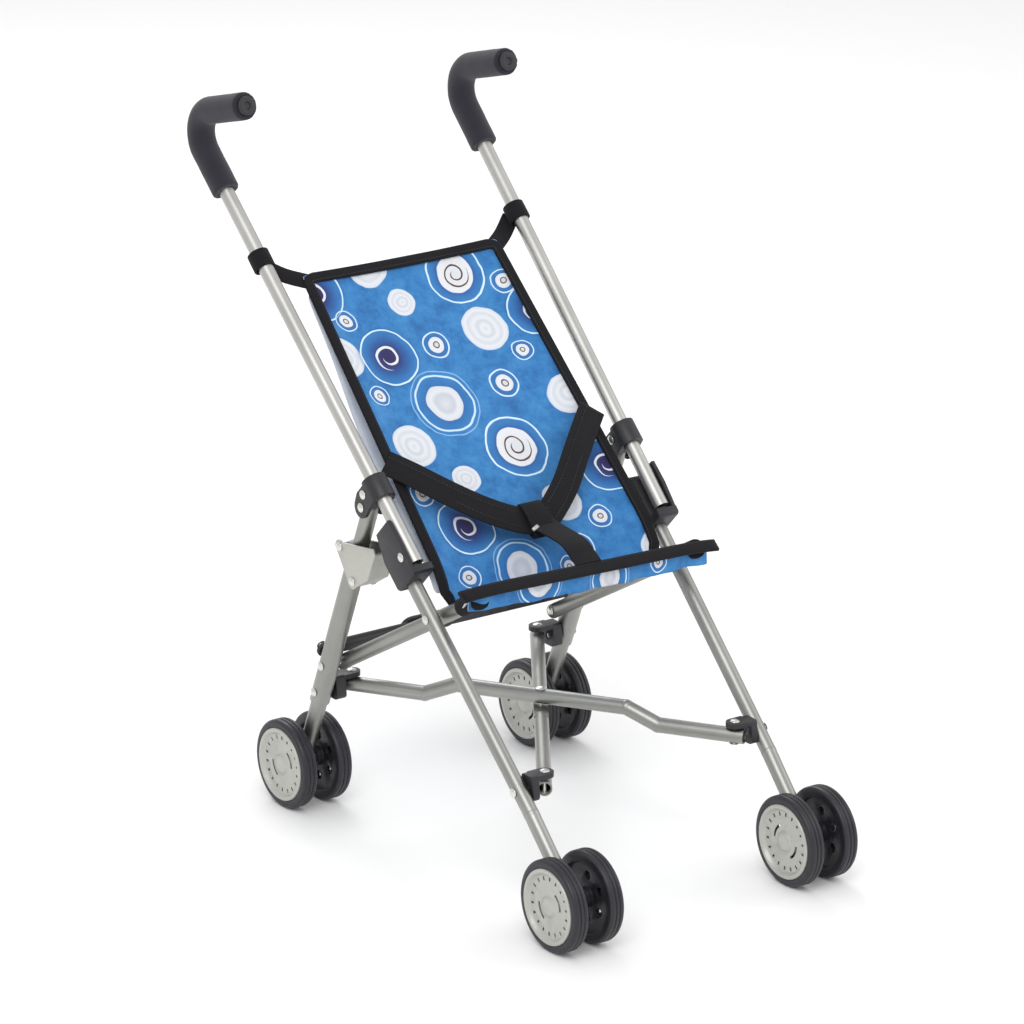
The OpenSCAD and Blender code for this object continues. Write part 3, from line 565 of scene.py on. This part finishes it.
def sheet_of(name, columns, rows, place, on_print, *materials):
    """A grid of cloth from place(share, rise), with its own printed coordinates."""
    grid = bmesh.new()
    corners = [[grid.verts.new(place(2 * i / columns - 1, j / rows)) for i in range(columns + 1)]
               for j in range(rows + 1)]
    printed = grid.loops.layers.uv.new("cloth")
    for j in range(rows):
        for i in range(columns):
            face = grid.faces.new((corners[j][i], corners[j][i + 1],
                                   corners[j + 1][i + 1], corners[j + 1][i]))
            face.smooth = True
            for loop, (a, b) in zip(face.loops, ((0, 0), (1, 0), (1, 1), (0, 1))):
                loop[printed].uv = on_print(2 * (i + a) / columns - 1, (j + b) / rows)
    mesh = bpy.data.meshes.new(name)
    grid.to_mesh(mesh)
    grid.free()
    return from_mesh(name, mesh, *materials)


def relax(piece, held, slack, steps, cap):
    """Lets the cloth settle under its own weight between its held edges."""
    rest = [v.co.copy() for v in piece.data.vertices]
    group = piece.vertex_groups.new(name="held")
    group.add([v.index for v in piece.data.vertices if held(v.co)], 1.0, "REPLACE")
    cloth = piece.modifiers.new("cloth", "CLOTH")
    cloth.settings.quality = 6
    cloth.settings.mass = 0.2
    cloth.settings.tension_stiffness = 25
    cloth.settings.compression_stiffness = 12
    cloth.settings.bending_stiffness = 0.4
    cloth.settings.shrink_min = -slack
    cloth.settings.vertex_group_mass = "held"
    cloth.point_cache.frame_end = steps
    for step in range(1, steps + 1):
        bpy.context.scene.frame_set(step)
    applied(piece)
    for vertex, start in zip(piece.data.vertices, rest):
        moved = vertex.co - start
        if moved.length > cap:
            vertex.co = start + moved * (cap / moved.length)
    bpy.context.scene.frame_set(1)


def cloth_body(piece, thickness):
    """Rounds the grid once and gives the cloth its thickness, behind the print."""
    fine = piece.modifiers.new("fine", "SUBSURF")
    fine.levels = fine.render_levels = 1
    thick = piece.modifiers.new("thick", "SOLIDIFY")
    thick.thickness = thickness
    thick.offset = -1
    thick.material_offset = 1
    thick.material_offset_rim = 1
    applied(piece)
    for face in piece.data.polygons:
        face.use_smooth = True


def back_rest(share, rise):
    """The back before it settles, with the slack it is sewn with."""
    up = 3 * MM + rise * (BACK_LENGTH - 3 * MM)
    belly = -2.2 * MM * (1 - share * share) * math.sin(math.pi * rise)
    pleat = 0.9 * MM * math.sin(share * 9 + rise * 5) * (1 - share ** 4) * max(0.0, 1 - rise * 2.2)
    return back_at(share, up, belly + pleat)


def back_print(share, rise):
    up = 3 * MM + rise * (BACK_LENGTH - 3 * MM)
    return share * half_at(up) - PRINT_SHIFT[0], up - PRINT_SHIFT[1]


back = sheet_of("back_cloth", 38, 60, back_rest, back_print, cloth_print, reverse)


def at_back_edge(co):
    up = (co - CREASE_LINE).dot(UP)
    return abs(co.x) > half_at(up) - 3 * MM or up > BACK_LENGTH - 3 * MM or up < 6 * MM


relax(back, at_back_edge, 0.008, 24, 6 * MM)
cloth_body(back, 0.8 * MM)
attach(back, "left_frame")
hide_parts("back_panel")
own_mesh(back)


# ---- The lining wing ----------------------------------------------------------------------------------
# The pale lining behind the back is sewn in at the top corners and hangs a
# little slack behind the left and right edges, down to the seat.
WING_BACK = 12 * MM


def wing_at(share, rise):
    up = 20 * MM + rise * (BACK_LENGTH - 34 * MM)
    hang = WING_BACK * math.sin(math.pi * min(1.0, rise * 0.9 + 0.1)) ** 0.6
    sag = 3 * MM * math.sin(3 * math.pi * rise) * share
    return back_at(share, up, -4 * MM - hang - sag)


wing = sheet_of("lining_wing", 20, 40, wing_at, back_print, reverse, reverse)
cloth_body(wing, 0.6 * MM)
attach(wing, "left_frame")
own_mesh(wing)


# ---- The seat ---------------------------------------------------------------------------------------------
# The same cloth runs forward from the crease to a bar of webbing held out by the
# two seat rails. It hangs in a shallow pocket and gathers in soft folds.
seat_low, seat_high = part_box("seat_panel")
SEAT_HALF = seat_high[0]
CREASE_PLACE = back_at(0, 4 * MM)
FRONT_EDGE = Vector((0, seat_low[1] + 3 * MM, seat_high[2] - 2 * MM))
CREASE_HALF = half_at(4 * MM)


def front_at(share):
    """The front edge's height droops at its ends, and more at the doll's left."""
    return FRONT_EDGE - Vector((0, 0, 3 * MM * share + 2.5 * MM * share ** 6))


def seat_at(share, rise):
    """The seat from the crease (rise 0) to its front edge (rise 1)."""
    half = CREASE_HALF + (SEAT_HALF - 3 * MM - CREASE_HALF) * rise
    line = CREASE_PLACE.lerp(front_at(share), rise)
    dip = -4 * MM * math.sin(math.pi * rise) * (1 - 0.55 * share ** 4)
    dip += 8 * MM * math.exp(-((share - 0.72) / 0.3) ** 2) * math.sin(math.pi * rise)
    gather = 1.6 * MM * math.sin(share * 14 + 1.3 * math.sin(share * 5)) * math.sin(math.pi * rise) ** 0.7
    gather += 1.1 * MM * math.sin(share * 23 + rise * 4) * (1 - rise) * min(1.0, rise * 6)
    return line + ACROSS * share * half + Vector((0, 0, dip + gather))


SEAT_DEPTH = (FRONT_EDGE - CREASE_PLACE).length


def seat_print(share, rise):
    half = CREASE_HALF + (SEAT_HALF - CREASE_HALF) * rise
    return share * half, -rise * (SEAT_DEPTH + 6 * MM)


seat = sheet_of("seat_cloth", 64, 16, seat_at, seat_print, cloth_print, reverse)
seat.data.flip_normals()
relax(seat, lambda co: co.y < FRONT_EDGE.y + 2 * MM or co.y > CREASE_PLACE.y - 2 * MM, 0.02, 20, 5 * MM)
cloth_body(seat, 0.8 * MM)
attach(seat, "left_seat_rail")
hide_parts("seat_panel")
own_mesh(seat)


# ---- Webbing, binding and thread -------------------------------------------------------------------------------
# Black polypropylene webbing for the belts and straps, softer black twill tape
# for the binding, and a slightly shiny bonded thread.
def black_weave(name, dark, light, thread, sheen):
    """Black woven tape, with ribs one thread apart along both ways of the weave."""
    material, tree, shader = new_finish(name, Roughness=0.85, IOR=1.35)
    shader.inputs["Sheen Weight"].default_value = sheen
    shader.inputs["Sheen Roughness"].default_value = 0.5
    on_tape = add(tree, "ShaderNodeUVMap", uv_map="tape")
    lint = add(tree, "ShaderNodeTexNoise", {"Vector": on_tape.outputs["UV"], "Scale": 130.0,
                                            "Detail": 4.0})
    shade = add(tree, "ShaderNodeValToRGB", {"Fac": lint.outputs["Fac"]})
    shade.color_ramp.elements[0].color = linear(dark)
    shade.color_ramp.elements[1].color = linear(light)
    tree.links.new(shade.outputs["Color"], shader.inputs["Base Color"])
    woven(tree, shader, on_tape.outputs["UV"], thread, 0.25 * MM)
    return material


webbing = black_weave("polypropylene_webbing", "#09090c", "#141319", 1.3 * MM, 0.04)
binding = black_weave("twill_binding_tape", "#0a0a0e", "#15141a", 0.9 * MM, 0.03)
thread, tree, shader = new_finish("bonded_thread", Roughness=0.5, IOR=1.5)
twist = add(tree, "ShaderNodeTexCoord")
ply = add(tree, "ShaderNodeTexNoise", {"Vector": twist.outputs["Object"], "Scale": 900.0})
shade = add(tree, "ShaderNodeValToRGB", {"Fac": ply.outputs["Fac"]})
shade.color_ramp.elements[0].color = linear("#1a1920")
shade.color_ramp.elements[1].color = linear("#2b2a33")
tree.links.new(shade.outputs["Color"], shader.inputs["Base Color"])


def smoothed(points, per_span=8):
    """A Catmull-Rom curve through the points."""
    ends = [2 * points[0] - points[1], *points, 2 * points[-1] - points[-2]]
    curve = []
    for a, b, c, d in zip(ends, ends[1:], ends[2:], ends[3:]):
        for i in range(per_span):
            t = i / per_span
            curve.append(0.5 * (2 * b + (c - a) * t + (2 * a - 5 * b + 4 * c - d) * t * t
                                + (3 * b - a - 3 * c + d) * t ** 3))
    return curve + [points[-1]]


def tape(name, path, facing, width, thickness, material, corner=0.45, closed=False):
    """A flat tape along the path; facing(i) is the way its face looks at each point."""
    count = len(path)
    work = bmesh.new()
    layer = work.loops.layers.uv.new("tape")
    rings, travelled, sizes = [], 0.0, []
    steps = 4
    radius = thickness * corner
    outline = []
    for cx, cz, start in ((1, 1, 0), (-1, 1, 90), (-1, -1, 180), (1, -1, 270)):
        for k in range(steps):
            turn = math.radians(start + 90 * k / (steps - 1))
            outline.append((cx * (width / 2 - radius) + radius * math.cos(turn),
                            cz * (thickness / 2 - radius) + radius * math.sin(turn)))
    for i, point in enumerate(path):
        before = path[i - 1] if closed or i else point
        after = path[(i + 1) % count] if closed or i < count - 1 else point
        along = (after - before).normalized()
        out = facing(i)
        out = (out - along * out.dot(along)).normalized()
        side = along.cross(out)
        rings.append([work.verts.new(point + side * x + out * z) for x, z in outline])
        travelled += (point - path[i - 1]).length if i else 0.0
        sizes.append(travelled)
    girth = [0.0]
    for (ax, az), (bx, bz) in zip(outline, outline[1:] + outline[:1]):
        girth.append(girth[-1] + math.hypot(bx - ax, bz - az))
    n = len(outline)
    for i in range(count if closed else count - 1):
        j = (i + 1) % count
        far = sizes[i + 1] if i + 1 < count else sizes[i] + (path[0] - path[i]).length
        for k in range(n):
            face = work.faces.new((rings[i][k], rings[i][(k + 1) % n],
                                   rings[j][(k + 1) % n], rings[j][k]))
            face.smooth = True
            for loop, uv in zip(face.loops, ((girth[k], sizes[i]), (girth[k + 1], sizes[i]),
                                             (girth[k + 1], far), (girth[k], far))):
                loop[layer].uv = uv
    if not closed:
        work.faces.new(rings[0][::-1])
        work.faces.new(rings[-1])
    bmesh.ops.recalc_face_normals(work, faces=work.faces)
    mesh = bpy.data.meshes.new(name)
    work.to_mesh(mesh)
    work.free()
    return from_mesh(name, mesh, material)


def stitch_tree():
    """Geometry nodes that lay short stitches along the edges of a path."""
    tree = bpy.data.node_groups.new("stitches", "GeometryNodeTree")
    sockets = tree.interface
    sockets.new_socket("Path", in_out="INPUT", socket_type="NodeSocketGeometry")
    sockets.new_socket("Pitch", in_out="INPUT", socket_type="NodeSocketFloat")
    sockets.new_socket("Stitch length", in_out="INPUT", socket_type="NodeSocketFloat")
    sockets.new_socket("Thread radius", in_out="INPUT", socket_type="NodeSocketFloat")
    sockets.new_socket("Thread", in_out="INPUT", socket_type="NodeSocketMaterial")
    sockets.new_socket("Stitches", in_out="OUTPUT", socket_type="NodeSocketGeometry")
    given = add(tree, "NodeGroupInput").outputs
    line = add(tree, "GeometryNodeMeshToCurve", {"Mesh": given["Path"]})
    spaced = add(tree, "GeometryNodeResampleCurve", {"Curve": line.outputs["Curve"],
                                                     "Length": given["Pitch"]}, mode="LENGTH")
    tangent = add(tree, "GeometryNodeInputTangent")
    turned = add(tree, "FunctionNodeAlignRotationToVector", {"Vector": tangent.outputs["Tangent"]},
                 axis="Z")
    one = add(tree, "GeometryNodeMeshCylinder", {"Vertices": 6, "Radius": given["Thread radius"],
                                                 "Depth": given["Stitch length"]})
    laid = add(tree, "GeometryNodeInstanceOnPoints", {"Points": spaced.outputs["Curve"],
                                                      "Instance": one.outputs["Mesh"],
                                                      "Rotation": turned.outputs["Rotation"]})
    real = add(tree, "GeometryNodeRealizeInstances", {"Geometry": laid.outputs["Instances"]})
    finished = add(tree, "GeometryNodeSetMaterial", {"Geometry": real.outputs["Geometry"],
                                                     "Material": given["Thread"]})
    out = add(tree, "NodeGroupOutput")
    tree.links.new(finished.outputs["Geometry"], out.inputs["Stitches"])
    return tree


STITCHES = stitch_tree()


def sewn(name, path, body, pitch=2.6 * MM, stitch=1.9 * MM, radius=0.28 * MM):
    """A row of stitches along a path, on a body."""
    mesh = bpy.data.meshes.new(name)
    mesh.from_pydata([tuple(p) for p in path], [(i, i + 1) for i in range(len(path) - 1)], [])
    piece = from_mesh(name, mesh)
    laid = piece.modifiers.new("stitches", "NODES")
    laid.node_group = STITCHES
    wanted = {"Pitch": pitch, "Stitch length": stitch, "Thread radius": radius, "Thread": thread}
    for item in STITCHES.interface.items_tree:
        if item.name in wanted and item.in_out == "INPUT":
            laid[item.identifier] = wanted[item.name]
    applied(piece)
    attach(piece, body)
    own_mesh(piece)
    return piece


def soft(piece, body):
    """A cloth piece on a body."""
    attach(piece, body)
    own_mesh(piece)
    return piece


# ---- Binding of the back -------------------------------------------------------------------------------------
# Tape folded over the cloth's edge and sewn through: up one side, round the top
# corner, along the top and down the other side. The top edge dips in its middle.
BIND_W, BIND_T = 9 * MM, 2.6 * MM


def round_the_back(inset, lift):
    """Places along the binding, inset from the cloth's edge and lifted off it."""
    places = []
    for i in range(0, 41):
        places.append((-1, i / 40 * (BACK_LENGTH - 10 * MM) + 2 * MM))
    for i in range(1, 6):
        turn = math.radians(90 * i / 6)
        places.append((-1 + 0.1 * (1 - math.cos(turn)), BACK_LENGTH - 8 * MM + 8 * MM * math.sin(turn)))
    for i in range(0, 25):
        share = -0.88 + 1.76 * i / 24
        places.append((share, BACK_LENGTH - 2.5 * MM * (1 - share * share)))
    for i in range(5, 0, -1):
        turn = math.radians(90 * i / 6)
        places.append((1 - 0.1 * (1 - math.cos(turn)), BACK_LENGTH - 8 * MM + 8 * MM * math.sin(turn)))
    for i in range(40, -1, -1):
        places.append((1, i / 40 * (BACK_LENGTH - 10 * MM) + 2 * MM))
    path = []
    for share, up in places:
        inward = inset / LOW_HALF
        path.append(back_at(share * (1 - inward), up - inset * max(0.0, up / BACK_LENGTH * 40 - 39), lift))
    return path


edge = round_the_back(3.2 * MM, -0.4 * MM)
soft(tape("back_binding", edge, lambda i: FRONT, BIND_W, BIND_T, binding), "left_frame")
soft_edge = round_the_back(6.2 * MM, 0.85 * MM)
sewn("back_binding_stitches", soft_edge, "left_frame")


# ---- Binding and valance of the seat ----------------------------------------------------------------------------
# A wider tape closes the seat's front edge over the rails. Under it hangs a
# short printed strip, and black pockets at both ends take the rails' tips.
front_path = [front_at(s) + ACROSS * SEAT_HALF * s + Vector((0, 0.6 * MM, -0.8 * MM * (1 - s * s)))
              for s in (i / 30 - 1 for i in range(61))]
soft(tape("seat_front_binding", front_path, lambda i: Vector((0, -0.55, 0.84)), 11 * MM, 3.2 * MM, binding),
     "left_seat_rail")
sewn("seat_front_stitches", [p + Vector((0, 2.2 * MM, 3.2 * MM)) for p in front_path], "left_seat_rail")

VALANCE_DROP = 16 * MM


def valance_at(share, rise):
    wave = 1.2 * MM * math.sin(share * 17) * (1 - rise) + 0.8 * MM * math.sin(share * 31 + 1)
    fall = (1 - rise) * VALANCE_DROP * (1 - 0.25 * abs(share) ** 3)
    return front_at(share) + ACROSS * share * (SEAT_HALF - 8 * MM) + Vector((0, 1.5 * MM + wave, -2 * MM - fall))


def valance_print(share, rise):
    return share * SEAT_HALF, -SEAT_DEPTH - (1 - rise) * VALANCE_DROP - 8 * MM


valance = sheet_of("seat_valance", 80, 6, valance_at, valance_print, cloth_print, reverse)
cloth_body(valance, 0.8 * MM)
soft(valance, "left_seat_rail")
for side, way in SIDES:
    rail_low, rail_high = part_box(f"seat_rail_{side}")
    middle = (rail_low[0] + rail_high[0]) / 2
    tip = Vector((middle, rail_low[1] + 3 * MM, rail_high[2] - 5 * MM))
    down_rail = Vector((0, math.cos(math.radians(30)), -math.sin(math.radians(30))))
    path = [tip + down_rail * (i * 2.2 - 4) * MM for i in range(12)]
    pocket = tape(f"rail_pocket_{side}", path, lambda i: Vector((0, 0.5, 0.866)), 16.5 * MM, 15 * MM, binding,
                  0.48)
    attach(pocket, f"{side}_seat_rail")


# ---- Harness ----------------------------------------------------------------------------------------------------
# Two webbing waist belts, sewn into the side bindings, meet in a loop on the
# crotch strap, which is sewn into the front of the seat. A small grey clip
# shows at the loop.
def belt(name, places, width, body="left_frame"):
    """A belt through places on the back, as (mm across, mm up, mm lifted)."""
    points = [CREASE_LINE + ACROSS * x * MM + UP * y * MM + FRONT * z * MM for x, y, z in places]
    path = smoothed(points)
    return soft(tape(name, path, lambda i: FRONT, width, 1.5 * MM, webbing), body), path


_, left_belt = belt("waist_belt_left", ((-100, 130, 1), (-85, 113, 5), (-66, 91, 8.5), (-43, 70, 10),
                                        (-21, 56, 10), (-2, 50, 9)), 24 * MM)
_, right_belt = belt("waist_belt_right", ((100, 138, 1), (83, 122, 5), (60, 99, 8), (38, 76, 8.5),
                                          (16, 58, 8), (0, 48, 7)), 22 * MM)
crotch_points = [CREASE_LINE + UP * 60 * MM + FRONT * 9.5 * MM, CREASE_LINE + UP * 46 * MM + FRONT * 12 * MM,
                 CREASE_LINE.lerp(FRONT_EDGE, 0.30) + Vector((0, 0, 30 * MM)),
                 CREASE_LINE.lerp(FRONT_EDGE, 0.70) + Vector((0, 0, 14 * MM)),
                 FRONT_EDGE + Vector((0, 3.5 * MM, 3 * MM))]
crotch_path = smoothed(crotch_points)
harness = tape("crotch_strap", crotch_path, lambda i: Vector((0, -0.25, 0.97)), 24 * MM, 1.5 * MM, webbing)
soft(harness, "left_frame")
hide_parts("harness")
loop_middle = CREASE_LINE - ACROSS * 3 * MM + UP * 52 * MM + FRONT * 9.5 * MM
loop_path = []
for i in range(24):
    turn = 2 * math.pi * i / 24
    loop_path.append(loop_middle + UP * 15 * MM * math.cos(turn) + FRONT * 4.2 * MM * math.sin(turn))
soft(tape("belt_loop", loop_path, lambda i: (loop_path[i] - loop_middle), 20 * MM, 1.6 * MM, webbing,
          closed=True), "left_frame")
clip = tape("belt_clip", [loop_middle + ACROSS * x * MM + UP * (-6 + x * 0.4) * MM + FRONT * 6.6 * MM
                          for x in (-12, -10, -8, -6)], lambda i: FRONT, 3 * MM, 1.4 * MM, silver)
soft(clip, "left_frame")
for name, path in (("waist_belt_left", left_belt), ("waist_belt_right", right_belt)):
    for k, shift in enumerate((-1, 1)):
        line = [p + UP * shift * 7 * MM + FRONT * 0.9 * MM for p in path[2:-8]]
        sewn(f"{name}_stitches_{k}", line, "left_frame", 3.2 * MM, 2.2 * MM, 0.24 * MM)


# ---- Top straps ----------------------------------------------------------------------------------------------------
# Webbing from the back's top corners, looped round the handle tubes and closed
# by a black clip with a steel rivet.
for side, way in SIDES:
    low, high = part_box(f"top_strap_{side}")
    tube_low, tube_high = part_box(f"handle_tube_{side}")
    outer = high[0] if way > 0 else low[0]
    ring_middle = Vector((outer - way * 8.4 * MM, high[1] - 11 * MM, high[2] - 12.5 * MM))
    ring_axis = Vector((way * 0.0187, UP.y, UP.z)).normalized()
    ring = []
    for i in range(32):
        turn = 2 * math.pi * i / 32
        ring.append(ring_middle + ACROSS * 7.9 * MM * math.cos(turn) + FRONT * 7.9 * MM * math.sin(turn))
    loop = tape(f"top_strap_loop_{side}", ring, lambda i: ring[i] - ring_middle, 15 * MM, 1.7 * MM, webbing,
                closed=True)
    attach(loop, f"{side}_frame")
    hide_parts(f"top_strap_{side}")
    corner = back_at(way * 0.97, BACK_LENGTH - 5 * MM, -1.5 * MM)
    start = ring_middle - FRONT * 6.5 * MM - ACROSS * way * 3 * MM
    middle = start.lerp(corner, 0.5) - FRONT * 1 * MM - UP * 1.5 * MM
    band = tape(f"top_strap_band_{side}", smoothed([start, middle, corner]), lambda i: FRONT, 14 * MM, 2 * MM,
                webbing)
    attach(band, f"{side}_frame")
